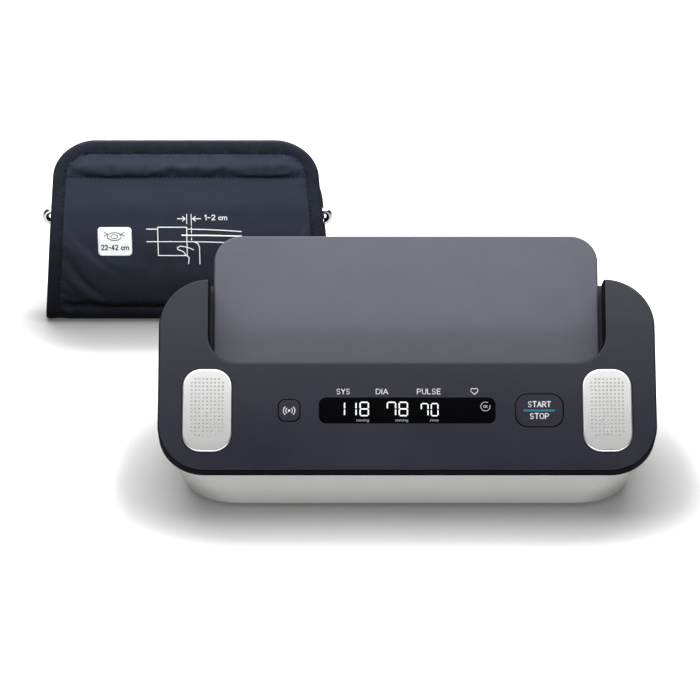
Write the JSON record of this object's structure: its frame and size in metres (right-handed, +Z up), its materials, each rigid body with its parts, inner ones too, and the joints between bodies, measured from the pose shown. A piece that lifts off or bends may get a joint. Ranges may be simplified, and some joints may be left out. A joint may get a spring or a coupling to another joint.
{
  "type": "blood pressure monitor",
  "caption": "Table-top upper-arm blood pressure monitor with heart-rhythm electrode pads, a sloped control panel, a phone cradle and a rolled arm cuff.",
  "frame": {"origin": "centre of the whole set's footprint, on the table", "axes": "+X to the user's right, +Y away from the user, +Z up"},
  "size_m": [0.2898, 0.2246, 0.1],
  "materials": {
    "shell_dark": "fine spark-eroded texture",
    "tub_white": "satin",
    "button_dark": "fine texture",
    "window_black": "polished",
    "display_cell": "polished",
    "electrode_metal": "satin plated",
    "contact_gold": "plated",
    "rest_grey": "satin",
    "brace_dark": "satin",
    "screw_steel": "zinc plated",
    "board_green": "solder mask",
    "component_black": "moulded",
    "switch_steel": "satin",
    "socket_black": "moulded",
    "cell_wrap": "wrapped",
    "spring_steel": "nickel plated",
    "jack_grey": "moulded",
    "pump_metal": "plated",
    "rubber_dark": "matte",
    "hose_clear": "smooth",
    "foot_rubber": "matte",
    "cuff_navy": "woven nylon",
    "cuff_lining": "brushed loop",
    "bladder_grey": "smooth",
    "binding_navy": "woven tape",
    "hook_black": "hook tape",
    "ring_steel": "polished",
    "port_grey": "moulded"
  },
  "bodies": {
    "monitor": {"top_shell": "shell_dark", "base_tub": "tub_white", "display_window": "window_black", "display_module": "display_cell", "left_electrode": "electrode_metal", "right_electrode": "electrode_metal", "electrode_contacts": "contact_gold", "phone_back_rest": "rest_grey", "stand_brace": "brace_dark", "stand_screws": "screw_steel", "main_board": "board_green", "board_screws": "screw_steel", "board_components": "component_black", "tact_switches": "switch_steel", "power_board": "board_green", "power_components": "component_black", "adapter_socket": "socket_black", "batteries": "cell_wrap", "battery_contacts": "spring_steel", "air_jack": "jack_grey", "air_pump": "pump_metal", "pump_sleeve": "rubber_dark", "jack_hose": "hose_clear", "valve_hose": "hose_clear", "release_valve": "pump_metal", "housing_screws": "screw_steel", "rubber_feet": "foot_rubber"},
    "cuff": {"cuff_outer_cloth": "cuff_navy", "cuff_inner_cloth": "cuff_lining", "cuff_bladder": "bladder_grey", "cuff_tail_lining": "cuff_lining", "cuff_binding": "binding_navy", "cuff_hook_patch": "hook_black", "ring_hem": "cuff_navy", "cuff_air_port": "port_grey"},
    "start_button": {"start_button": "button_dark"},
    "link_button": {"link_button": "button_dark"},
    "battery_door": {"battery_door": "tub_white"},
    "cuff_ring": {"cuff_ring": "ring_steel"}
  },
  "joints": [
    {"name": "start_press", "type": "slide", "parent": "monitor", "child": "start_button", "axis": [0, 0.7071, -0.7071], "range_m": [0, 0.0006], "stiffness_N_per_m": 600, "springref_m": -0.0004},
    {"name": "link_press", "type": "slide", "parent": "monitor", "child": "link_button", "axis": [0, 0.7071, -0.7071], "range_m": [0, 0.0006], "stiffness_N_per_m": 600, "springref_m": -0.0004},
    {"name": "battery_door_slide", "type": "slide", "parent": "monitor", "child": "battery_door", "axis": [0, 1, 0], "range_m": [0, 0.03]},
    {"name": "cuff_lift", "type": "slide", "parent": "monitor", "child": "cuff", "axis": [0, 0, 1], "range_m": [0, 0.12]},
    {"name": "ring_swing", "type": "hinge", "parent": "cuff", "child": "cuff_ring", "pos_m": [-0.07355, 0.09563, 0.05825], "axis": [1, 0, 0], "range_deg": [-12, 12]}
  ]
}
